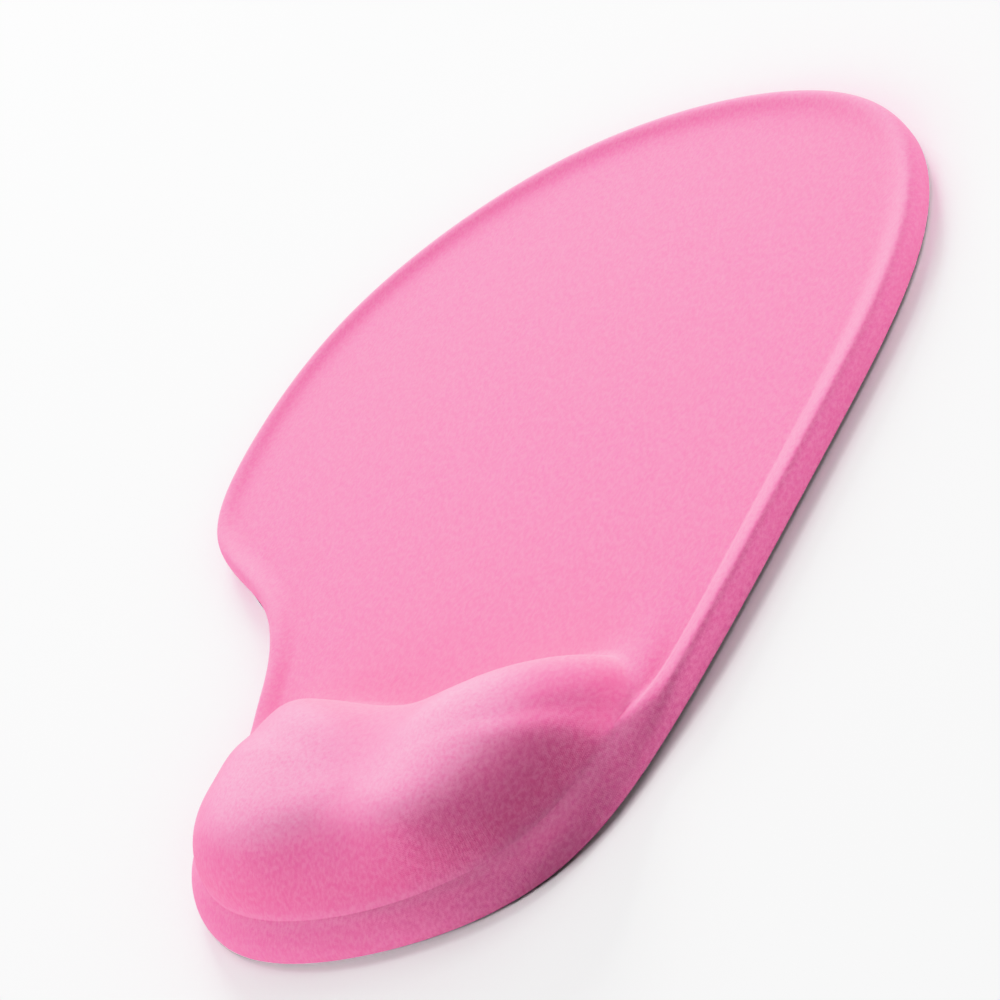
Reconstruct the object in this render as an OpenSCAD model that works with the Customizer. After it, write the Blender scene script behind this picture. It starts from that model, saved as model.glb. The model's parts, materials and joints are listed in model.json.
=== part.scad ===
// Gel wrist rest with its mouse pad in one piece.
// X runs to the right, Y away from the user, Z up. The origin is on the desk,
// at the middle of the pad's width and length. All sizes are in millimetres.

/* [Overall size] */
// Width across the pad from left to right
overall_w = 195; // [170:1:230]
// Length from the front edge to the far edge
overall_l = 250; // [220:1:290]

/* [Pad] */
// Thickness of the non-slip base sheet
base_t = 0.6; // [0.5:0.1:1.5]
// Height of the flat mouse area above the desk
pad_h = 5.0; // [4.5:0.1:8]
// Rise of the rim bead above the mouse area
rim_rise = 1.6; // [0.8:0.1:2.5]
// Distance from the edge to the top of the bead
rim_in = 2.6; // [2.2:0.1:3.4]
// Distance from the edge to where the bead meets the flat
rim_out = 9.0; // [8:0.5:14]
// Thickness of the knitted cover
fabric_t = 0.8; // [0.5:0.1:1]
// How far the base sheet stays inside the edge of the cover
base_inset = 0.5; // [0.3:0.1:0.7]

/* [Wrist rest] */
// Rise of the gel rest above the mouse area
rest_rise = 18; // [12:0.5:24]
// Depth of the saddle between the two lobes, as a share of the rise
saddle = 0.26; // [0:0.02:0.36]
// Width of the saddle from side to side
saddle_w = 17; // [12:1:24]
// Thickness of each film round the gel
film_t = 0.3; // [0.2:0.05:0.4]

/* [Hidden] */

// Columns of the surface in each span between two control points.
per = 6;

// Control points of the two closed spline curves. Each point of the first has
// its partner in the second, so the surface runs from one curve to the other.
edge_ctrl = [[99, 78], [97.5, 20], [96.5, -54], [88, -93], [42, -120], [1, -130],
             [-30, -110], [-23, -80], [-42, -40], [-90, -33], [-100, 2],
             [-96, 51], [-62, 94], [-19, 120], [34, 129], [76, 118]];
rest_ctrl = [[68, -40.5], [81, -38.5], [89.5, -52], [82, -88], [40, -114], [1, -122],
             [-23, -107], [-19.5, -82], [-15, -67], [-3, -64.5], [8, -63],
             [18, -62.5], [27, -61], [37, -57], [47, -51.5], [57, -46]];
rest_mid = [36, -84];
// Turn of the rest's long axis from left-right.
rest_turn = 19;

function wrap(i, n) = (i % n + n) % n;
function spline(p, i, t) = let (n = len(p))
    ((1 - t)^3 * p[wrap(i - 1, n)] + (3*t^3 - 6*t^2 + 4) * p[i]
     + (-3*t^3 + 3*t^2 + 3*t + 1) * p[wrap(i + 1, n)] + t^3 * p[wrap(i + 2, n)]) / 6;
function heading(p, i, t) = let (n = len(p))
    (-(1 - t)^2 * p[wrap(i - 1, n)] + (3*t^2 - 4*t) * p[i]
     + (-3*t^2 + 2*t + 1) * p[wrap(i + 1, n)] + t^2 * p[wrap(i + 2, n)]) / 2;
function closed_curve(p) = [for (i = [0 : len(p) - 1]) for (j = [0 : per - 1]) spline(p, i, j / per)];

// Scale and shift that bring the outline to the overall size, centred.
raw = closed_curve(edge_ctrl);
low = [min([for (p = raw) p.x]), min([for (p = raw) p.y])];
high = [max([for (p = raw) p.x]), max([for (p = raw) p.y])];
grow = [overall_w / (high.x - low.x), overall_l / (high.y - low.y)];
function fit(p) = [(p.x - (low.x + high.x) / 2) * grow.x, (p.y - (low.y + high.y) / 2) * grow.y];

edge = [for (p = raw) fit(p)];
foot = [for (p = closed_curve(rest_ctrl)) fit(p)];
mid = fit(rest_mid);
cols = len(edge);
// Outward direction at each point of the edge, level with the desk.
out = [for (i = [0 : len(edge_ctrl) - 1]) for (j = [0 : per - 1])
       let (h = heading(edge_ctrl, i, j / per), t = [h.x * grow.x, h.y * grow.y]) [-t.y, t.x] / norm(t)];

function ease(a, b, x) = let (t = min(1, max(0, (x - a) / (b - a)))) t * t * (3 - 2 * t);
function mix(a, b, t) = a * (1 - t) + b * t;
// 0 well below zero, 1 well above it.
function step_up(x) = 1 / (1 + exp(-2 * x));
// Position along and across the rest, from its middle.
function along(p) = (p.x - mid.x) * cos(rest_turn) + (p.y - mid.y) * sin(rest_turn);
function across(p) = (p.y - mid.y) * cos(rest_turn) - (p.x - mid.x) * sin(rest_turn);

// Rim bead: a rounded outer wall up to the top, then a soft fall to the flat.
rim_h = pad_h + rim_rise;
bead_power = 2.2;
inner_d = 5.2;
end_lift = 1.6;
// In front of the rest there is no bead, but a broad round edge up to its foot.
roll_w = 11;
roll_rise = 0.6;
bridge_h = 0.35;
bridge_w = 4;
function roll(d) = base_t + (rim_h + roll_rise - base_t) * sqrt(1 - max(0, 1 - d / roll_w)^2);
// 0 where the rest comes close to the edge, 1 where the mouse area lies between.
function bare(k) = ease(3, 14, reach[k]);
// Height inside the top of the bead, at distance d from the edge.
function fall(k, d) = mix(roll(d), pad_h + rim_rise
    * (0.5 + 0.5 * cos(180 * min(1, (d - rim_in) / (rim_out - rim_in)))), bare(k));
// The taut cover bridges the crease at the foot of the rest.
function bridge(to_foot) = bridge_h * max(0, 1 - to_foot / bridge_w)^2;
// The bead runs up into the right end of the rest, and only close to its foot.
function lift(k, d, to_foot) = end_lift * ease(42, 60, along(foot[k]))
    * ease(1, inner_d + 1, d) * (1 - ease(0, 14, to_foot));
function at(p, z) = [p.x, p.y, z];

// Outer surface of the cover: one column of points from the base up over the
// bead, across the mouse area to the foot of the rest, then up the rest.
wall_steps = 6;
bead_steps = 3;
pad_steps = 7;
rest_rings = [0.985, 0.965, 0.94, 0.915, 0.87, 0.79, 0.69, 0.57, 0.44, 0.3, 0.15];
foot_row = wall_steps + bead_steps + pad_steps;
ring_915 = foot_row + 4;

// Inner side of the bead, and how far it is from the foot of the rest.
start = [for (k = [0 : cols - 1]) edge[k] - out[k] * inner_d];
reach = [for (k = [0 : cols - 1]) norm(foot[k] - start[k])];
// How far a row runs square to the bead before it bends. Beside the straight
// right edge it is short, so that the rows do not cross.
bend = [for (k = [0 : cols - 1])
        mix(0.36 * reach[k], 0.5 * (start[k] - foot[k]) * out[k], ease(0.3, 0.9, out[k].x))];

function wall_pt(k, a) = let (d = rim_in * (1 - cos(a)^(2 / bead_power)), to_foot = reach[k] + inner_d - d)
    at(edge[k] - out[k] * d, mix(roll(d), base_t + (rim_h - base_t) * sin(a)^(2 / bead_power), bare(k))
       + lift(k, d, to_foot) + bridge(to_foot) * sin(a));
function bead_pt(k, d) = let (to_foot = reach[k] + inner_d - d)
    at(edge[k] - out[k] * d, fall(k, d) + lift(k, d, to_foot) + bridge(to_foot));
// Two rows stay beside the bead and the rest close up towards the foot.
far_share = [0.34, 0.62, 0.84, 0.94, 1];
function share(i, span) = let (near = 5 / span)
    mix(i / pad_steps, min(1, i == 1 ? 2 / span : i == 2 ? near : mix(near, 1, far_share[i - 3])),
        ease(5, 20, span));
// Each row leaves the bead square to it, then bends towards the foot.
function pad_pt(k, i) = let (s = share(i, reach[k]), a = start[k], c = foot[k], m = a - out[k] * bend[k],
    p = (1 - s)^2 * a + 2 * s * (1 - s) * m + s^2 * c, d = inner_d + norm(p - a), to_foot = norm(c - p))
    at(p, fall(k, d) + lift(k, d, to_foot) + bridge(to_foot));

// The rest slopes gently in front and rises steeply at its back and left end.
function dome(s, soft, power) = let (f = 1 - s^3) (f * f / (f + soft) * (1 + soft))^power;
function crown(k, s) = let (back = step_up(across(foot[k]) / 12), left = ease(14, 58, -along(foot[k])),
    front = mix((1 - s^2)^0.85, dome(s, 0.10, 0.74), ease(-5, 30, along(foot[k]))))
    mix(mix(front, dome(s, 0.16, 0.60), back), dome(s, 0.12, 0.46), left);
function valley(p) = 1 - saddle * exp(-(along(p) / saddle_w)^2) * step_up((across(p) + 8) / 14);
function rest_pt(k, s) = let (p = mix(mid, foot[k], s), z = pad_pt(k, pad_steps).z - bridge_h)
    at(p, mix(pad_h, z, s^3) + bridge(norm(foot[k] - p)) + rest_rise * crown(k, s) * valley(p));

skin = [for (k = [0 : cols - 1]) concat(
    [for (i = [0 : wall_steps]) wall_pt(k, 90 * i / wall_steps)],
    [for (i = [1 : bead_steps]) bead_pt(k, mix(rim_in, inner_d, i / bead_steps))],
    [for (i = [1 : pad_steps]) pad_pt(k, i)],
    [for (s = rest_rings) rest_pt(k, s)])];
rows = len(skin[0]);
crest = rest_pt(0, 0);

// Unit direction out of the skin, taken from the neighbouring points.
function facing(k, r) = r == 0 ? at(out[k], 0) : let (
    a = skin[wrap(k + 1, cols)][r] - skin[wrap(k - 1, cols)][r],
    b = (r == rows - 1 ? crest : skin[k][r + 1]) - skin[k][r - 1],
    n = cross(b, a)) n / norm(n);
normals = [for (k = [0 : cols - 1]) [for (r = [0 : rows - 1]) facing(k, r)]];
// A point of the skin moved inwards by t.
function under(k, r, t) = skin[k][r] - normals[k][r] * t;
function crest_under(t) = crest - [0, 0, t];

// Closed solid from columns of points. The first row is shared with a flat
// underside or a second skin, and the last row closes on one point.
function band(a, b) = [for (k = [0 : cols - 1]) let (n = wrap(k + 1, cols)) each
    [[a + k, b + n, b + k], [a + k, a + n, b + n]]];
function flip(f) = [for (t = f) [t[2], t[1], t[0]]];
function row(c, r) = [for (k = [0 : cols - 1]) c[k][r]];
function stack(n, from) = [for (r = [0 : n - 2]) each band(from + r * cols, from + (r + 1) * cols)];
function cap(a, tip) = [for (k = [0 : cols - 1]) [a + k, a + wrap(k + 1, cols), tip]];

// Solid between one skin and its flat underside, which is a fan round `low_tip`.
module mound(c, tip, low_tip) {
    n = len(c[0]);
    pts = concat([for (r = [0 : n - 1]) each row(c, r)], [tip, low_tip]);
    polyhedron(pts, concat(stack(n, 0), cap((n - 1) * cols, n * cols), flip(cap(0, n * cols + 1))));
}

// Shell between an outer and an inner skin, joined along their first rows.
module shell(c, tip, d, tip_in) {
    n = len(c[0]);
    m = len(d[0]);
    pts = concat([for (r = [0 : n - 1]) each row(c, r)], [for (r = [0 : m - 1]) each row(d, r)], [tip, tip_in]);
    faces = concat(stack(n, 0), cap((n - 1) * cols, (n + m) * cols),
                   flip(stack(m, n * cols)), flip(cap((n + m - 1) * cols, (n + m) * cols + 1)),
                   flip(band(0, n * cols)));
    polyhedron(pts, faces);
}

// Edge of the gel pack, as shares of the foot of the rest.
pack_out = 0.975;
weld_in = 0.935;
gel_in = 0.925;
core_h = pad_h - fabric_t;
function ring(k, s, z) = at(mix(mid, foot[k], s), z);

// Non-slip sheet under the whole pad.
module base_sheet() {
    color([0.07, 0.07, 0.075])
    linear_extrude(base_t)
        polygon([for (k = [0 : cols - 1]) edge[k] - out[k] * base_inset]);
}

// Foam body under the mouse area and the rim, with a flat bed for the gel pack.
module foam_pad() {
    color([0.20, 0.20, 0.21])
    mound([for (k = [0 : cols - 1]) concat([for (r = [0 : foot_row]) under(k, r, fabric_t)],
                                           [ring(k, 0.98, core_h)])],
          at(mid, core_h), at(mid, base_t));
}

// Flat lower film of the gel pack.
module bladder_bottom_film() {
    color([0.86, 0.88, 0.90])
    translate([0, 0, core_h])
    linear_extrude(film_t)
        polygon([for (k = [0 : cols - 1]) mix(mid, foot[k], pack_out)]);
}

// Soft gel that fills the pack.
module gel_fill() {
    color([0.93, 0.80, 0.86])
    mound([for (k = [0 : cols - 1]) concat([ring(k, gel_in, core_h + film_t)],
                                           [for (r = [ring_915 : rows - 1]) under(k, r, fabric_t + film_t)])],
          crest_under(fabric_t + film_t), at(mid, core_h + film_t));
}

// Domed upper film with the flat weld flange round it.
module bladder_top_film() {
    color([0.80, 0.84, 0.88])
    shell([for (k = [0 : cols - 1]) concat([ring(k, pack_out, core_h + film_t),
                                            ring(k, pack_out, core_h + 2 * film_t),
                                            ring(k, weld_in, core_h + 2 * film_t)],
                                           [for (r = [ring_915 : rows - 1]) under(k, r, fabric_t)])],
          crest_under(fabric_t),
          [for (k = [0 : cols - 1]) concat([ring(k, gel_in, core_h + film_t)],
                                           [for (r = [ring_915 : rows - 1]) under(k, r, fabric_t + film_t)])],
          crest_under(fabric_t + film_t));
}

// Knitted cover over everything, bonded down to the base sheet at its edge.
module cover_fabric() {
    color([0.94, 0.60, 0.76])
    shell([for (k = [0 : cols - 1]) skin[k]], crest,
          [for (k = [0 : cols - 1]) [for (r = [0 : rows - 1]) under(k, r, fabric_t)]],
          crest_under(fabric_t));
}

base_sheet();
foam_pad();
bladder_bottom_film();
gel_fill();
bladder_top_film();
cover_fabric();
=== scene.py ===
# Looks of the gel wrist rest with its mouse pad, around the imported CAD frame.
# Lengths are worked out in millimetres and turned to metres where a mesh is made.
import json
import math

import bpy
import numpy as np
from mathutils import Matrix, Vector, kdtree
from mathutils.geometry import delaunay_2d_cdt

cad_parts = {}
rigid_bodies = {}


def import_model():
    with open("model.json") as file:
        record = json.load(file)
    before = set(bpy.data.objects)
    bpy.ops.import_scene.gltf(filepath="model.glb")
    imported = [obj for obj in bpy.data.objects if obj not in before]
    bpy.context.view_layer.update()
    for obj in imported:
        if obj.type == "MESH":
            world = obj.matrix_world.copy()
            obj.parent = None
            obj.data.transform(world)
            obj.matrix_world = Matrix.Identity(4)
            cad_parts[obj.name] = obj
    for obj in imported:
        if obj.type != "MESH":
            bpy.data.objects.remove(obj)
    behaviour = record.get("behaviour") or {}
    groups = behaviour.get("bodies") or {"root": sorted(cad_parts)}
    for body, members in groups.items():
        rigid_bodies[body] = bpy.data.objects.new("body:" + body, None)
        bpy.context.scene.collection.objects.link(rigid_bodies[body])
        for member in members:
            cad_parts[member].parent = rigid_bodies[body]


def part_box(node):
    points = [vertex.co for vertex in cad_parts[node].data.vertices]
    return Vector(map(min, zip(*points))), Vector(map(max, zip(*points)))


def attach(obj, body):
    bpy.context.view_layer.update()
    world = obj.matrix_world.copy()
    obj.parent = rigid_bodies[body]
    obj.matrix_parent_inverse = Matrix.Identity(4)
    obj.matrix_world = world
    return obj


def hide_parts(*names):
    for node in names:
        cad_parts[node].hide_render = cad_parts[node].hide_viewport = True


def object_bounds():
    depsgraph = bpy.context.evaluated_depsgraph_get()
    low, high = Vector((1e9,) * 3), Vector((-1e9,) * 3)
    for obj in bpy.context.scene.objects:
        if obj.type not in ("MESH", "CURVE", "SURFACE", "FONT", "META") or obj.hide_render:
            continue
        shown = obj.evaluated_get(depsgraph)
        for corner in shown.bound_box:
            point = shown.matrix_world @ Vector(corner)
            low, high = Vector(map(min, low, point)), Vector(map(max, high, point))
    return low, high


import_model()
CAD_BOX = [[float(v) for v in corner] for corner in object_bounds()]
MM = 0.001

# ---------------------------------------------------------------- camera
TARGET = np.array([6.494, -0.896, 0.0])
DISTANCE = 516.45
AZIMUTH, ELEVATION, ROLL = (math.radians(a) for a in (65, 35, 45))
SENSOR, LENS = 36.0, 76.86


def camera():
    back = np.array([math.sin(AZIMUTH) * math.cos(ELEVATION),
                     -math.cos(AZIMUTH) * math.cos(ELEVATION), math.sin(ELEVATION)])
    right = np.array([math.cos(AZIMUTH), math.sin(AZIMUTH), 0.0])
    up = np.cross(back, right)
    x = math.cos(ROLL) * right - math.sin(ROLL) * up
    y = math.sin(ROLL) * right + math.cos(ROLL) * up
    place = (TARGET + DISTANCE * back) * MM
    data = bpy.data.cameras.new("camera")
    data.sensor_width, data.lens = SENSOR, LENS
    data.clip_start, data.clip_end = 0.01, 50.0
    obj = bpy.data.objects.new("camera", data)
    obj.matrix_world = Matrix([[x[i], y[i], back[i], place[i]] for i in range(3)] + [[0, 0, 0, 1]])
    bpy.context.scene.collection.objects.link(obj)
    bpy.context.scene.camera = obj


# ---------------------------------------------------------------- shape
# The same curves and profiles as the CAD, with the overall sizes read from it.
def node_box(name):
    low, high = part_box(name)
    return np.array(low) / MM, np.array(high) / MM


LOW, HIGH = (np.array(c) / MM for c in CAD_BOX)
WIDTH, LENGTH = (HIGH - LOW)[:2]
BASE_T = node_box("base_sheet")[1][2]
CORE_H = node_box("bladder_bottom_film")[0][2]
FILM_T = node_box("bladder_bottom_film")[1][2] - CORE_H
FABRIC_T = HIGH[2] - node_box("bladder_top_film")[1][2]
PAD_H = CORE_H + FABRIC_T
RIM_RISE, RIM_IN, RIM_OUT, INNER_D, END_LIFT, BEAD_POWER = 1.6, 2.6, 9.0, 5.2, 1.6, 2.2
REST_RISE, SADDLE, SADDLE_W, REST_TURN = 18.0, 0.26, 17.0, math.radians(19)
BRIDGE_H, BRIDGE_W = 0.35, 4.0
ROLL_RISE, ROLL_W = 0.6, 11.0
BASE_INSET = 0.5
SETTLE_VOXEL, SETTLE_CAP, SETTLE_FROM = 4.0, 0.6, 30
PACK_OUT, WELD_IN, GEL_IN, GEL_FROM, BED = 0.975, 0.935, 0.925, 0.91, 0.98
EDGE = [[99, 78], [97.5, 20], [96.5, -54], [88, -93], [42, -120], [1, -130], [-30, -110],
        [-23, -80], [-42, -40], [-90, -33], [-100, 2], [-96, 51], [-62, 94], [-19, 120],
        [34, 129], [76, 118]]
REST = [[68, -40.5], [81, -38.5], [89.5, -52], [82, -88], [40, -114], [1, -122], [-23, -107],
        [-19.5, -82], [-15, -67], [-3, -64.5], [8, -63], [18, -62.5], [27, -61], [37, -57],
        [47, -51.5], [57, -46]]
REST_MID = [36, -84]


def spline(points, per, heading=False):
    t = np.arange(per) / per
    if heading:
        weights = [-(1 - t)**2, 3*t*t - 4*t, -3*t*t + 2*t + 1, t*t]
        scale = 2
    else:
        weights = [(1 - t)**3, 3*t**3 - 6*t**2 + 4, -3*t**3 + 3*t**2 + 3*t + 1, t**3]
        scale = 6
    p = np.asarray(points, float)
    spans = [sum(w[:, None] * p[(i + j - 1) % len(p)] for j, w in enumerate(weights))
             for i in range(len(p))]
    return np.concatenate(spans) / scale


def ease(a, b, x):
    t = np.clip((x - a) / (b - a), 0, 1)
    return t * t * (3 - 2 * t)


def mix(a, b, t):
    return a * (1 - t) + b * t


def step_up(x):
    return 1 / (1 + np.exp(-2 * x))


def rest_shares(count):
    """Shares at which the rows of the rest lie, from its foot inwards."""
    return [1 - (i / (count + 0.5))**1.5 for i in range(1, count + 1)]


class Skin:
    """Outer surface of the cover as rows of points, one point to a column."""

    def __init__(self, per):
        raw = spline(EDGE, 6)
        low, high = raw.min(0), raw.max(0)
        grow = np.array([WIDTH, LENGTH]) / (high - low)
        centre = (low + high) / 2
        self.edge = (spline(EDGE, per) - centre) * grow
        self.foot = (spline(REST, per) - centre) * grow
        self.mid = (np.array(REST_MID, float) - centre) * grow
        run = spline(EDGE, per, heading=True) * grow
        self.out = np.stack([-run[:, 1], run[:, 0]], 1) / np.linalg.norm(run, axis=1, keepdims=True)
        self.cols = len(self.edge)
        self.start = self.edge - self.out * INNER_D
        self.reach = np.linalg.norm(self.foot - self.start, axis=1)
        self.bare = ease(3, 14, self.reach)      # 0 where the rest comes close to the edge
        square = 0.5 * np.sum((self.start - self.foot) * self.out, axis=1)
        self.bend = mix(0.36 * self.reach, square, ease(0.3, 0.9, self.out[:, 0]))

    def along(self, p):
        q = p - self.mid
        return q[..., 0] * math.cos(REST_TURN) + q[..., 1] * math.sin(REST_TURN)

    def across(self, p):
        q = p - self.mid
        return q[..., 1] * math.cos(REST_TURN) - q[..., 0] * math.sin(REST_TURN)

    def roll(self, d):
        """Height of the broad round edge in front of the rest."""
        x = 1 - np.clip(d / ROLL_W, 0, 1)
        return BASE_T + (PAD_H + RIM_RISE + ROLL_RISE - BASE_T) * np.sqrt(1 - x * x)

    def fall(self, d):
        turn = np.pi * np.clip((d - RIM_IN) / (RIM_OUT - RIM_IN), 0, 1)
        return mix(self.roll(d), PAD_H + RIM_RISE * (0.5 + 0.5 * np.cos(turn)), self.bare)

    def lift(self, d, to_foot):
        return (END_LIFT * ease(42, 60, self.along(self.foot)) * ease(1, INNER_D + 1, d)
                * (1 - ease(0, 14, to_foot)))

    def bridge(self, to_foot):
        """Rise of the taut cover where it bridges the foot of the rest."""
        return BRIDGE_H * np.maximum(0, 1 - to_foot / BRIDGE_W)**2

    def wall(self, angle):
        d = np.full(self.cols, RIM_IN * (1 - math.cos(angle)**(2 / BEAD_POWER)))
        rise = (PAD_H + RIM_RISE - BASE_T) * math.sin(angle)**(2 / BEAD_POWER)
        to_foot = self.reach + INNER_D - d
        z = mix(self.roll(d), BASE_T + rise, self.bare)
        z = z + self.lift(d, to_foot) + self.bridge(to_foot) * math.sin(angle)
        return np.c_[self.edge - self.out * d[:, None], z]

    def bead(self, share):
        d = np.full(self.cols, mix(RIM_IN, INNER_D, share))
        to_foot = self.reach + INNER_D - d
        z = self.fall(d) + self.lift(d, to_foot) + self.bridge(to_foot)
        return np.c_[self.edge - self.out * d[:, None], z]

    def pad(self, share):
        s = np.full((self.cols, 1), share)
        turn = self.start - self.out * self.bend[:, None]
        p = (1 - s)**2 * self.start + 2 * s * (1 - s) * turn + s**2 * self.foot
        d = INNER_D + np.linalg.norm(p - self.start, axis=1)
        to_foot = np.linalg.norm(self.foot - p, axis=1)
        return np.c_[p, self.fall(d) + self.lift(d, to_foot) + self.bridge(to_foot)]

    @staticmethod
    def dome(share, soft, power):
        f = 1 - share**3
        return (f * f / (f + soft) * (1 + soft))**power

    def crown(self, share):
        b = step_up(self.across(self.foot) / 12)
        end = ease(14, 58, -self.along(self.foot))
        front = mix((1 - share**2)**0.85, self.dome(share, 0.10, 0.74),
                    ease(-5, 30, self.along(self.foot)))
        return mix(mix(front, self.dome(share, 0.16, 0.60), b), self.dome(share, 0.12, 0.46), end)

    def valley(self, p):
        dip = np.exp(-(self.along(p) / SADDLE_W)**2)
        return 1 - SADDLE * dip * step_up((self.across(p) + 8) / 14)

    def rest(self, share):
        p = mix(self.mid, self.foot, share)
        to_foot = np.linalg.norm(self.foot - p, axis=1)
        z = mix(PAD_H, self.pad(1.0)[:, 2] - BRIDGE_H, share**3) + self.bridge(to_foot)
        return np.c_[p, z + REST_RISE * self.crown(share) * self.valley(p)]

    def ring(self, share, z):
        return np.c_[mix(self.mid, self.foot, share), np.full(self.cols, z)]

    def rows(self, walls, beads, pads, rests):
        """Rows from the base up over the bead, over the mouse area, then up the rest."""
        found = [self.wall(math.pi / 2 * i / walls) for i in range(walls + 1)]
        found += [self.bead(i / beads) for i in range(1, beads + 1)]
        found += [self.pad((i / pads)**1.3) for i in range(1, pads + 1)]
        found += [self.rest(share) for share in rest_shares(rests)]
        return np.array(found)

    def tip(self):
        return self.rest(0.0)[0]


def row_normals(rows, tip):
    """Outward unit direction at each point of the rows."""
    side = np.roll(rows, -1, axis=1) - np.roll(rows, 1, axis=1)
    nxt = np.concatenate([rows[1:], np.broadcast_to(tip, (1,) + rows.shape[1:])])
    prev = np.concatenate([rows[:1], rows[:-1]])
    n = np.cross(nxt - prev, side)
    n[0, :, 2] = 0
    return n / np.linalg.norm(n, axis=2, keepdims=True)


# ---------------------------------------------------------------- mesh helpers
def strip(cols, a, b):
    """Quads between two rows of points whose first indices are a and b."""
    k = np.arange(cols)
    n = (k + 1) % cols
    return np.stack([a + n, a + k, b + k, b + n], 1)


def fan(cols, a, tip):
    k = np.arange(cols)
    return np.stack([a + (k + 1) % cols, a + k, np.full(cols, tip)], 1)


def make_mesh(name, points, faces, smooth=True):
    mesh = bpy.data.meshes.new(name)
    mesh.from_pydata((np.asarray(points) * MM).tolist(), [], [list(map(int, f)) for f in faces])
    mesh.validate()
    mesh.polygons.foreach_set("use_smooth", [smooth] * len(mesh.polygons))
    mesh.update()
    obj = bpy.data.objects.new(name, mesh)
    bpy.context.scene.collection.objects.link(obj)
    return obj


def solid(name, rows, first_tip, last_tip):
    """Closed solid through rows of points, with a fan at each end."""
    cols = rows.shape[1]
    points = np.concatenate([rows.reshape(-1, 3), [first_tip, last_tip]])
    count = len(rows)
    faces = [f for r in range(count - 1) for f in strip(cols, r * cols, (r + 1) * cols)]
    faces += list(fan(cols, (count - 1) * cols, count * cols + 1))
    faces += [f[::-1] for f in fan(cols, 0, count * cols)]
    return make_mesh(name, points, faces)


def finish_piece(obj, node, material, sharp=35):
    obj.data.set_sharp_from_angle(angle=math.radians(sharp))
    obj.data.materials.clear()
    obj.data.materials.append(material)
    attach(obj, "root")
    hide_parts(node)


# ---------------------------------------------------------------- material helpers
class Tree:
    """A material's node tree, with short calls for the nodes used here."""

    def __init__(self, name):
        self.material = bpy.data.materials.new(name)
        self.material.use_nodes = True
        self.nodes = self.material.node_tree.nodes
        self.links = self.material.node_tree.links
        self.shader = self.nodes["Principled BSDF"]

    def put(self, socket, value):
        if isinstance(value, bpy.types.NodeSocket):
            self.links.new(value, socket)
        else:
            socket.default_value = value

    def add(self, kind, inputs=None, **settings):
        node = self.nodes.new(kind)
        for key, value in settings.items():
            setattr(node, key, value)
        for key, value in (inputs or {}).items():
            self.put(node.inputs[key], value)
        return node

    def math(self, operation, a, b=0.0, c=0.0):
        node = self.add("ShaderNodeMath", operation=operation)
        for socket, value in zip(node.inputs, (a, b, c)):
            self.put(socket, value)
        return node.outputs[0]

    def noise(self, at, scale, detail=2.0, rough=0.5):
        node = self.add("ShaderNodeTexNoise",
                        {"Vector": at, "Scale": scale, "Detail": detail, "Roughness": rough})
        return node.outputs["Fac"]

    def streaks(self, flat, turn, scale):
        """Short soft streaks that lean by `turn` degrees across a flat map."""
        lie = self.add("ShaderNodeMapping", {"Vector": flat, "Rotation": (0, 0, math.radians(turn)),
                                             "Scale": (1.0, 0.62, 1.0)})
        return self.noise(lie.outputs["Vector"], scale, 2.0, 0.55)

    def span(self, value, low, high, to_low, to_high):
        node = self.add("ShaderNodeMapRange", {0: value, 1: low, 2: high, 3: to_low, 4: to_high})
        return node.outputs[0]

    def blend(self, share, a, b):
        node = self.add("ShaderNodeMix", data_type="RGBA", blend_type="MIX")
        self.put(node.inputs[0], share)
        self.put(node.inputs[6], a)
        self.put(node.inputs[7], b)
        return node.outputs[2]

    def bump(self, height, distance, strength=1.0, normal=None):
        inputs = {"Height": height, "Distance": distance, "Strength": strength}
        if normal is not None:
            inputs["Normal"] = normal
        return self.add("ShaderNodeBump", inputs).outputs["Normal"]

    def set(self, **values):
        for key, value in values.items():
            self.put(self.shader.inputs[key.replace("_", " ")], value)


def rgb(*values):
    return (*values, 1.0)


WALE, COURSE = 0.00056, 0.00046


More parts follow.
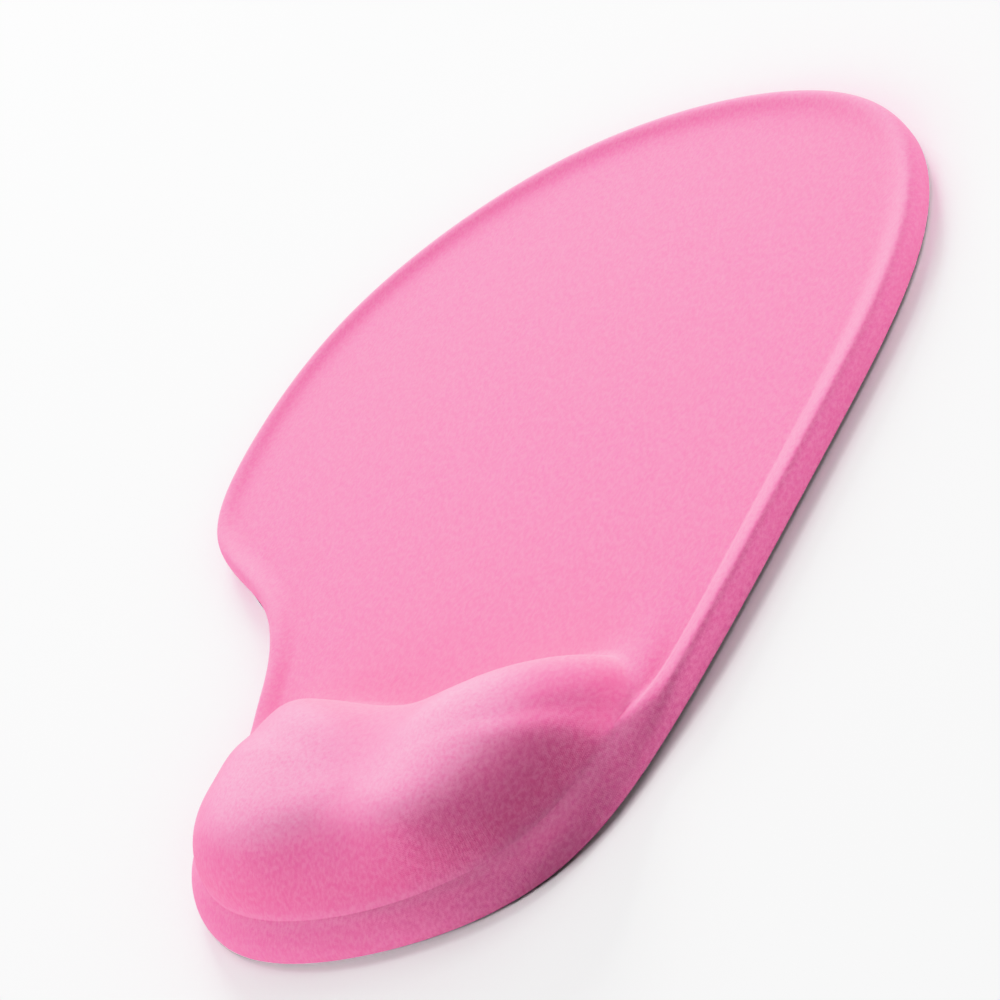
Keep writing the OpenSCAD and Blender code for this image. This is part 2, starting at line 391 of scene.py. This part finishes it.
def knit_material():
    t = Tree("pink_knit")
    place = t.add("ShaderNodeTexCoord").outputs["Object"]
    uv = t.add("ShaderNodeUVMap", uv_map="Fabric").outputs["UV"]
    drift = t.noise(place, 45.0, 1.0)
    parts = t.add("ShaderNodeSeparateXYZ", {0: uv})
    u = t.math("MULTIPLY_ADD", drift, 0.0016, parts.outputs[0])
    v = t.math("MULTIPLY_ADD", drift, -0.0012, parts.outputs[1])
    half = t.math("MULTIPLY", u, 2 / WALE)
    inside = t.math("FRACT", half)
    odd = t.math("MODULO", t.math("FLOOR", half), 2.0)
    lean = t.math("MULTIPLY_ADD", t.math("ABSOLUTE", odd), -2.0, 1.0)
    slant = t.math("MULTIPLY", lean, t.math("SUBTRACT", inside, 0.5))
    turn = t.math("MULTIPLY_ADD", v, 1 / COURSE, slant)
    wave = t.math("COSINE", t.math("MULTIPLY", turn, 2 * math.pi))
    loop = t.math("MULTIPLY_ADD", wave, 0.5, 0.5)
    strand = t.math("SINE", t.math("MULTIPLY", inside, math.pi))
    stitch = t.math("MULTIPLY", t.math("POWER", strand, 0.6), t.math("MULTIPLY_ADD", loop, 0.45, 0.55))
    fibre = t.noise(place, 3600.0, 2.0, 0.6)
    grain = t.noise(place, 1300.0, 2.0, 0.55)
    patch = t.noise(place, 210.0, 3.0, 0.5)
    broad = t.noise(place, 22.0, 2.0, 0.5)
    flecks = t.math("MAXIMUM", t.streaks(uv, 40.0, 1250.0), t.streaks(uv, -40.0, 1250.0))
    wear_and_highlight = t.add("ShaderNodeAttribute", attribute_name="wear_and_highlight").outputs["Fac"]
    height = t.math("ADD", t.math("MULTIPLY", stitch, 0.75), t.math("MULTIPLY", fibre, 0.5))
    warm = t.blend(t.span(grain, 0.3, 0.7, 0.0, 1.0),
                   rgb(0.797, 0.264, 0.497), rgb(0.835, 0.334, 0.534))
    tone = t.blend(t.span(patch, 0.35, 0.65, 0.0, 0.35), warm, rgb(0.817, 0.256, 0.484))
    tone = t.blend(t.span(broad, 0.35, 0.65, 0.0, 0.25), tone, rgb(0.846, 0.315, 0.512))
    # Painted shade: a deeper pink on the steep sides of the lobes above the bead, where they turn from
    # the light, chosen for looks.
    facing = t.add("ShaderNodeSeparateXYZ", {0: t.add("ShaderNodeNewGeometry").outputs["Normal"]})
    level = t.add("ShaderNodeSeparateXYZ", {0: place})
    painted_shade_steep = t.math("MULTIPLY", t.span(facing.outputs[2], 0.60, 0.95, 0.30, 0.0),
                   t.span(level.outputs[2], 0.007, 0.011, 0.0, 1.0))
    tone = t.blend(painted_shade_steep, tone, rgb(0.800, 0.190, 0.380))
    # Painted shade: a darker pink in the low parts of the stitches, between the loops.
    tone = t.blend(t.span(height, 0.25, 0.95, 0.30, 0.0), tone, rgb(0.602, 0.146, 0.315))
    tone = t.blend(t.span(flecks, 0.44, 0.66, 0.0, 0.42), tone, rgb(0.909, 0.454, 0.636))
    # Painted highlight together with real wear: paler pink on the bead and the tops of the lobes.
    worn_and_highlit = t.math("MULTIPLY", wear_and_highlight, t.span(grain, 0.35, 0.65, 0.35, 0.70))
    tone = t.blend(worn_and_highlit, tone, rgb(0.880, 0.580, 0.715))
    rough = t.span(grain, 0.25, 0.75, 0.80, 0.92)
    rough = t.math("MULTIPLY_ADD", wear_and_highlight, -0.08, rough)
    normal = t.bump(height, 0.00010, 0.55)
    normal = t.bump(flecks, 0.00013, 0.30, normal)
    normal = t.bump(patch, 0.00018, 0.25, normal)
    t.set(Base_Color=tone, Roughness=rough, Normal=normal, Sheen_Weight=0.12, Sheen_Roughness=0.45,
          Sheen_Tint=rgb(1.0, 0.72, 0.86), Specular_IOR_Level=0.12)
    return t.material


def rubber_material():
    t = Tree("black_rubber")
    place = t.add("ShaderNodeTexCoord").outputs["Object"]
    grain = t.noise(place, 2600.0, 3.0, 0.6)
    patch = t.noise(place, 70.0, 3.0, 0.55)
    tone = t.blend(t.span(patch, 0.35, 0.7, 0.0, 1.0),
                   rgb(0.017, 0.017, 0.018), rgb(0.032, 0.032, 0.034))
    tone = t.blend(t.span(grain, 0.55, 0.8, 0.0, 0.5), tone, rgb(0.060, 0.058, 0.060))
    t.set(Base_Color=tone, Roughness=t.span(patch, 0.3, 0.7, 0.55, 0.75),
          Normal=t.bump(grain, 0.00006, 0.6), Specular_IOR_Level=0.4)
    return t.material


def foam_material():
    t = Tree("open_cell_foam")
    place = t.add("ShaderNodeTexCoord").outputs["Object"]
    cells = t.add("ShaderNodeTexVoronoi", {"Vector": place, "Scale": 1400.0}).outputs["Distance"]
    patch = t.noise(place, 160.0, 3.0)
    # Painted shade: darker in the pits of the cells, paler on the cell walls.
    tone = t.blend(t.span(cells, 0.1, 0.6, 0.0, 1.0),
                   rgb(0.012, 0.012, 0.013), rgb(0.050, 0.050, 0.054))
    tone = t.blend(t.span(patch, 0.4, 0.7, 0.0, 0.4), tone, rgb(0.080, 0.078, 0.080))
    t.set(Base_Color=tone, Roughness=t.span(patch, 0.3, 0.7, 0.85, 0.98),
          Normal=t.bump(cells, 0.00025, 0.8), Specular_IOR_Level=0.15)
    return t.material


def gel_material():
    t = Tree("soft_gel")
    place = t.add("ShaderNodeTexCoord").outputs["Object"]
    cloud = t.noise(place, 55.0, 3.0)
    specks = t.noise(place, 900.0, 2.0)
    tone = t.blend(t.span(cloud, 0.35, 0.65, 0.0, 1.0), rgb(0.84, 0.62, 0.72), rgb(0.90, 0.70, 0.79))
    t.set(Base_Color=tone, Roughness=t.span(specks, 0.3, 0.7, 0.12, 0.26),
          Normal=t.bump(cloud, 0.0006, 0.3),
          Transmission_Weight=0.55, IOR=1.42)
    return t.material


def film_material():
    t = Tree("clear_film")
    place = t.add("ShaderNodeTexCoord").outputs["Object"]
    ripple = t.noise(place, 120.0, 3.0)
    scuff = t.noise(place, 1500.0, 2.0)
    tone = t.blend(t.span(ripple, 0.35, 0.65, 0.0, 1.0), rgb(0.66, 0.71, 0.76), rgb(0.76, 0.80, 0.84))
    t.set(Base_Color=tone, Roughness=t.span(scuff, 0.3, 0.7, 0.08, 0.22),
          Normal=t.bump(ripple, 0.0004, 0.35),
          Transmission_Weight=0.6, IOR=1.5)
    return t.material


# ---------------------------------------------------------------- pieces
POINTS_PER_SPAN = 10
WALLS, BEADS, PADS, RESTS = 8, 4, 20, 24     # rows over each part of the cover
FOOT_ROW = WALLS + BEADS + PADS
CLOTH_STEPS, CLOTH_PRESSURE, CLOTH_SHRINK = 20, 4.0, 0.01
skin = Skin(POINTS_PER_SPAN)


def only(obj):
    """Makes obj the one selected and active object."""
    for other in bpy.context.view_layer.objects:
        other.select_set(other == obj)
    bpy.context.view_layer.objects.active = obj


def points_of(mesh):
    co = np.empty(len(mesh.vertices) * 3)
    mesh.vertices.foreach_get("co", co)
    return co.reshape(-1, 3) / MM


def unwrap(obj):
    """Flattens the open skin with little stretch, and sizes the map in metres."""
    only(obj)
    obj.data.uv_layers.new(name="Fabric")
    bpy.ops.object.mode_set(mode="EDIT")
    bpy.ops.mesh.select_all(action="SELECT")
    bpy.ops.uv.unwrap(method="ANGLE_BASED", margin=0.0)
    bpy.ops.object.mode_set(mode="OBJECT")
    mesh = obj.data
    uv = np.empty(len(mesh.loops) * 2)
    mesh.uv_layers["Fabric"].data.foreach_get("uv", uv)
    uv = uv.reshape(-1, 2)
    loops = np.empty(len(mesh.loops), int)
    mesh.loops.foreach_get("vertex_index", loops)
    at = points_of(mesh)[loops, :2] * MM
    # The turn and scale that lay the map best over the plan view.
    a = uv - uv.mean(0)
    b = at - at.mean(0)
    left, size, right = np.linalg.svd(a.T @ b)
    turn = left @ right
    scale = size.sum() / (a**2).sum()
    uv = a @ turn * scale
    mesh.uv_layers["Fabric"].data.foreach_set("uv", uv.ravel())


def foot_share(p):
    """How far out plan points lie: 0 at the middle of the rest, 1 at its foot."""
    foot, q = skin.foot - skin.mid, p[..., :2] - skin.mid
    turn = np.arctan2(foot[:, 1], foot[:, 0])
    order = np.argsort(turn)
    reach = np.interp(np.arctan2(q[..., 1], q[..., 0]), turn[order],
                      np.linalg.norm(foot, axis=1)[order], period=2 * math.pi)
    return np.linalg.norm(q, axis=-1) / reach


def settle(rows, tip):
    """Outward shift in mm of each point of the cover, from a small cloth simulation.

    A coarse copy of the rest, held round its foot, shrinks by a hundredth and pulls taut:
    in over the lobes and out across the hollow behind the saddle. The pressure adds next to
    nothing. Only the outward part is used, capped and smoothed, so that hollow fills a
    little and the tops of the lobes stay as they are.
    """
    body = solid("settle", rows[SETTLE_FROM:], [*skin.mid, PAD_H - 2], tip)
    only(body)
    remesh = body.modifiers.new("remesh", "REMESH")
    remesh.mode, remesh.voxel_size = "VOXEL", SETTLE_VOXEL * MM
    bpy.ops.object.modifier_apply(modifier="remesh")
    at = points_of(body.data)
    free = (1 - ease(0.93, 1.0, foot_share(at))) * ease(PAD_H, PAD_H + 1, at[:, 2])
    pin = body.vertex_groups.new(name="pin")
    for i, share in enumerate(free):
        pin.add([i], 1 - float(share), "REPLACE")
    cloth = body.modifiers.new("cloth", "CLOTH").settings
    cloth.quality = 4
    cloth.vertex_group_mass = "pin"
    cloth.use_pressure = True
    cloth.uniform_pressure_force = CLOTH_PRESSURE
    cloth.shrink_min = CLOTH_SHRINK
    cloth.effector_weights.gravity = 0.0
    for step in range(1, CLOTH_STEPS + 1):
        bpy.context.scene.frame_set(step)
    moved = points_of(body.evaluated_get(bpy.context.evaluated_depsgraph_get()).data) - at
    bpy.context.scene.frame_set(1)
    bpy.data.objects.remove(body)
    tree = kdtree.KDTree(len(at))
    for i, p in enumerate(at):
        tree.insert(p, i)
    tree.balance()
    normals = row_normals(rows, tip)
    shift = np.zeros(rows.shape[:2])
    over = 1 - ease(0.95, 1.02, foot_share(rows))
    for r, k in zip(*np.nonzero(over * (rows[..., 2] > PAD_H))):
        near = tree.find_n(rows[r, k], 8)
        weight = np.array([1 / (d * d + 1) for _, _, d in near])
        move = weight @ moved[[i for _, i, _ in near]] / weight.sum()
        shift[r, k] = move @ normals[r, k]
    shift = np.clip(shift, 0, SETTLE_CAP) * over
    for _ in range(3):
        ends = np.pad(shift, ((1, 1), (0, 0)), mode="edge")
        shift = (ends[:-2] + 2 * shift + ends[2:]) / 4
        shift = (np.roll(shift, 1, axis=1) + 2 * shift + np.roll(shift, -1, axis=1)) / 4
    return shift


def cover_skin():
    rows = skin.rows(WALLS, BEADS, PADS, RESTS)
    tip = skin.tip()
    shift = settle(rows, tip)
    rows = rows + row_normals(rows, tip) * shift[..., None]
    tip = tip + np.array([0, 0, shift[-1].mean()])
    cols = skin.cols
    count = len(rows)
    points = np.concatenate([rows.reshape(-1, 3), [tip]])
    faces = [f for r in range(count - 1) for f in strip(cols, r * cols, (r + 1) * cols)]
    faces += list(fan(cols, (count - 1) * cols, count * cols))
    return make_mesh("cover", points, faces)


def cover_piece(material):
    obj = cover_skin()
    unwrap(obj)
    subdiv = obj.modifiers.new("subdiv", "SUBSURF")
    subdiv.levels = subdiv.render_levels = 1
    subdiv.boundary_smooth = "PRESERVE_CORNERS"
    solidify = obj.modifiers.new("shell", "SOLIDIFY")
    solidify.thickness = FABRIC_T * MM
    solidify.offset = -1.0
    only(obj)
    bpy.ops.object.modifier_apply(modifier="subdiv")
    bpy.ops.object.modifier_apply(modifier="shell")
    mesh = obj.data
    # Paler pink on the bead and lobe tops, partly wear and partly painted highlight.
    wear_and_highlight = wear_and_highlight_at(points_of(mesh))
    attribute = mesh.attributes.new("wear_and_highlight", "FLOAT", "POINT")
    attribute.data.foreach_set("value", wear_and_highlight.astype(np.float32))
    finish_piece(obj, "cover_fabric", material, 50)
    return obj


def wear_and_highlight_at(co):
    """Share of paler pink: a little on the bead, more on top of the lobes; partly wear, partly a
    painted highlight on the tops.
    """
    low = ease(5.6, 6.6, co[:, 2]) * (1 - ease(7.5, 9.0, co[:, 2]))
    top = ease(17.0, 21.5, co[:, 2])
    return np.clip(0.2 * low + 0.8 * top, 0, 1)


def under(rows, normals, first, t):
    return rows[first:] - normals[first:] * t


def inner_pieces():
    rows = skin.rows(WALLS, BEADS, PADS, RESTS)
    tip = skin.tip()
    normals = row_normals(rows, tip)
    down = np.array([0.0, 0.0, 1.0])
    foam_rows = np.concatenate([(rows - normals * FABRIC_T)[:FOOT_ROW + 1],
                                [skin.ring(BED, CORE_H)]])
    foam = solid("foam", foam_rows, [*skin.mid, BASE_T], [*skin.mid, CORE_H])
    # The gel starts at the first row of the rest that lies inside its share.
    first = FOOT_ROW + 1 + next(i for i, s in enumerate(rest_shares(RESTS)) if s < GEL_FROM)
    gel_rows = np.concatenate([[skin.ring(GEL_IN, CORE_H + FILM_T)],
                               under(rows, normals, first, FABRIC_T + FILM_T)])
    gel = solid("gel", gel_rows, [*skin.mid, CORE_H + FILM_T], tip - down * (FABRIC_T + FILM_T))
    top_rows = np.concatenate([[skin.ring(PACK_OUT, CORE_H + FILM_T)],
                               [skin.ring(PACK_OUT, CORE_H + 2 * FILM_T)],
                               [skin.ring(WELD_IN, CORE_H + 2 * FILM_T)],
                               under(rows, normals, first, FABRIC_T)])
    cols, n, m = skin.cols, len(top_rows), len(gel_rows)
    points = np.concatenate([top_rows.reshape(-1, 3), gel_rows.reshape(-1, 3),
                             [tip - down * FABRIC_T, tip - down * (FABRIC_T + FILM_T)]])
    faces = [f for r in range(n - 1) for f in strip(cols, r * cols, (r + 1) * cols)]
    faces += list(fan(cols, (n - 1) * cols, (n + m) * cols))
    faces += [f[::-1] for r in range(m - 1) for f in strip(cols, (n + r) * cols, (n + r + 1) * cols)]
    faces += [f[::-1] for f in fan(cols, (n + m - 1) * cols, (n + m) * cols + 1)]
    faces += [f[::-1] for f in strip(cols, 0, n * cols)]
    top_film = make_mesh("top_film", points, faces)
    flat_rows = np.array([skin.ring(PACK_OUT, CORE_H), skin.ring(PACK_OUT, CORE_H + FILM_T)])
    bottom_film = solid("bottom_film", flat_rows, [*skin.mid, CORE_H], [*skin.mid, CORE_H + FILM_T])
    return foam, gel, top_film, bottom_film


def fill_outline(outline):
    """Triangles over a closed plan outline, as indices into it, clockwise from above."""
    count = len(outline)
    loop = [(i, (i + 1) % count) for i in range(count)]
    _, _, tris, orig, _, _ = delaunay_2d_cdt([Vector(p) for p in outline], loop, [], 1, 1e-5)
    return [[orig[i][0] for i in tri] for tri in tris]


PAD_PITCH, PAD_GROOVE, PAD_DEPTH, PAD_MARGIN = 3.6, 0.55, 0.22, 3.0
PAD_SHOULDER, PAD_BEVEL, SHEET_ROUND = 0.05, 0.12, 0.25


def base_piece(material):
    """Non-slip sheet with a field of low six-sided pads pressed into its underside."""
    cols = skin.cols
    pitch = PAD_PITCH
    radius = pitch / math.sqrt(3)
    corners = [(math.cos(a), math.sin(a)) for a in (math.pi / 6 + math.pi / 3 * i for i in range(6))]
    keep_in = skin.edge - skin.out * PAD_MARGIN
    nxt = np.roll(keep_in, -1, axis=0)
    centres = []
    for j in range(-45, 46):
        for i in range(-32, 33):
            c = np.array([(i + 0.5 * (j % 2)) * pitch, j * pitch * math.sqrt(3) / 2])
            cross = ((keep_in[:, 1] > c[1]) != (nxt[:, 1] > c[1]))
            with np.errstate(divide="ignore", invalid="ignore"):
                slope = (nxt[:, 0] - keep_in[:, 0]) / (nxt[:, 1] - keep_in[:, 1])
                x = keep_in[:, 0] + (c[1] - keep_in[:, 1]) * slope
            clear = np.min(np.linalg.norm(keep_in - c, axis=1)) > radius
            if np.count_nonzero(cross & (c[0] < x)) % 2 and clear:
                centres.append(c)
    points, index, faces = [], {}, []

    def point(x, y, z):
        key = (round(x, 3), round(y, 3), round(z, 3))
        if key not in index:
            index[key] = len(points)
            points.append((x, y, z))
        return index[key]

    border = {}
    for c in centres:
        outer = [point(c[0] + x * radius, c[1] + y * radius, PAD_DEPTH) for x, y in corners]
        r = radius - PAD_GROOVE / math.sqrt(3)
        shoulder = [point(c[0] + x * r, c[1] + y * r, PAD_SHOULDER) for x, y in corners]
        f = r - PAD_BEVEL
        flat = [point(c[0] + x * f, c[1] + y * f, 0.0) for x, y in corners]
        for i in range(6):
            n = (i + 1) % 6
            faces.append((outer[n], outer[i], shoulder[i], shoulder[n]))
            faces.append((shoulder[n], shoulder[i], flat[i], flat[n]))
            if (outer[n], outer[i]) in border:
                del border[(outer[n], outer[i])]
            else:
                border[(outer[i], outer[n])] = True
        faces.append(tuple(reversed(flat)))
    # The plain strip between the field and the edge of the sheet.
    lip = skin.edge - skin.out * (BASE_INSET + SHEET_ROUND)
    ring_low = [point(x, y, 0.0) for x, y in lip]
    used = sorted({i for pair in border for i in pair})
    flat_index = {v: i for i, v in enumerate(used)}
    coords = [Vector(points[i][:2]) for i in used] + [Vector(p) for p in lip]
    edges = [(flat_index[a], flat_index[b]) for a, b in border]
    edges += [(len(used) + i, len(used) + (i + 1) % cols) for i in range(cols)]
    verts, _, tris, orig, _, _ = delaunay_2d_cdt(coords, edges, [], 1, 1e-5)
    back = [used[o[0]] if o[0] < len(used) else ring_low[o[0] - len(used)] for o in orig]
    inner = point_test(border, points)
    for tri in tris:
        middle = np.mean([verts[i] for i in tri], axis=0)
        if not inner(middle):
            faces.append(tuple(back[i] for i in reversed(tri)))
    # Edge of the sheet, a little rounded below, and the flat top.
    rise = [(BASE_INSET, SHEET_ROUND), (BASE_INSET, BASE_T)]
    rings = [ring_low]
    for inset_by, z in rise:
        rings.append([point(x, y, z) for x, y in skin.edge - skin.out * inset_by])
    for a, b in zip(rings, rings[1:]):
        for i in range(cols):
            n = (i + 1) % cols
            faces.append((a[n], a[i], b[i], b[n]))
    top = fill_outline(skin.edge - skin.out * BASE_INSET)
    faces += [tuple(rings[-1][i] for i in reversed(tri)) for tri in top]
    obj = make_mesh("base", points, faces)
    finish_piece(obj, "base_sheet", material, 30)
    return obj


def point_test(border, points):
    """A test of whether a plan point lies inside the closed border."""
    a = np.array([points[i][:2] for i, _ in border])
    b = np.array([points[j][:2] for _, j in border])

    def inside(p):
        with np.errstate(divide="ignore", invalid="ignore"):
            x = a[:, 0] + (p[1] - a[:, 1]) / (b[:, 1] - a[:, 1]) * (b[:, 0] - a[:, 0])
        return bool(np.count_nonzero(((a[:, 1] > p[1]) != (b[:, 1] > p[1])) & (p[0] < x)) % 2)

    return inside


# ---------------------------------------------------------------- stage
FLOOR_RADIUS, FLOOR_SIDES, FLOOR_DROP = 0.6, 96, 0.0002


def stage():
    turns = [2 * math.pi * i / FLOOR_SIDES for i in range(FLOOR_SIDES)]
    rim = [(FLOOR_RADIUS * math.cos(a), FLOOR_RADIUS * math.sin(a), 0) for a in turns]
    mesh = bpy.data.meshes.new("floor")
    mesh.from_pydata(rim, [], [list(range(FLOOR_SIDES))])
    floor = bpy.data.objects.new("floor", mesh)
    floor.location.z = -FLOOR_DROP
    bpy.context.scene.collection.objects.link(floor)
    t = Tree("pale_floor")
    t.set(Base_Color=rgb(0.93, 0.93, 0.93), Roughness=0.9, Specular_IOR_Level=0.1)
    floor.data.materials.append(t.material)


LIGHTS = [
    # name, degrees round from +X towards +Y, degrees above the floor, watts
    ("back_left", 135, 11, 120.0),
    ("front_left", 238, 20, 26.0),
    ("right", 45, 12, 16.0),
    ("back", 90, 25, 13.0),
    ("left_high", 150, 42, 12.0),
]
LIGHT_SIZE, LIGHT_DISTANCE = 0.65, 1.3
AMBIENT, BACKDROP, GAMMA = 0.02, 2.2, 0.65


def lights():
    for name, around, above, watts in LIGHTS:
        data = bpy.data.lights.new(name, "AREA")
        data.shape, data.size, data.energy = "DISK", LIGHT_SIZE, watts
        obj = bpy.data.objects.new(name, data)
        a, e = math.radians(around), math.radians(above)
        direction = Vector((math.cos(a) * math.cos(e), math.sin(a) * math.cos(e), math.sin(e)))
        obj.location = direction * LIGHT_DISTANCE
        obj.rotation_euler = direction.to_track_quat("Z", "Y").to_euler()
        bpy.context.scene.collection.objects.link(obj)
    world = bpy.data.worlds.new("world")
    world.use_nodes = True
    background = world.node_tree.nodes["Background"]
    background.inputs[0].default_value = rgb(1.0, 1.0, 1.0)
    # The camera sees a pale backdrop, which gives little light to the scene.
    seen = world.node_tree.nodes.new("ShaderNodeLightPath").outputs["Is Camera Ray"]
    strength = world.node_tree.nodes.new("ShaderNodeMapRange")
    strength.inputs[3].default_value, strength.inputs[4].default_value = AMBIENT, BACKDROP
    world.node_tree.links.new(seen, strength.inputs[0])
    world.node_tree.links.new(strength.outputs[0], background.inputs[1])
    bpy.context.scene.world = world
    bpy.context.scene.view_settings.view_transform = "Khronos PBR Neutral"
    bpy.context.scene.view_settings.gamma = GAMMA


camera()
stage()
lights()
film = film_material()
foam, gel, top_film, bottom_film = inner_pieces()
finish_piece(foam, "foam_pad", foam_material())
finish_piece(gel, "gel_fill", gel_material())
finish_piece(top_film, "bladder_top_film", film)
finish_piece(bottom_film, "bladder_bottom_film", film)
base = base_piece(rubber_material())
cover = cover_piece(knit_material())
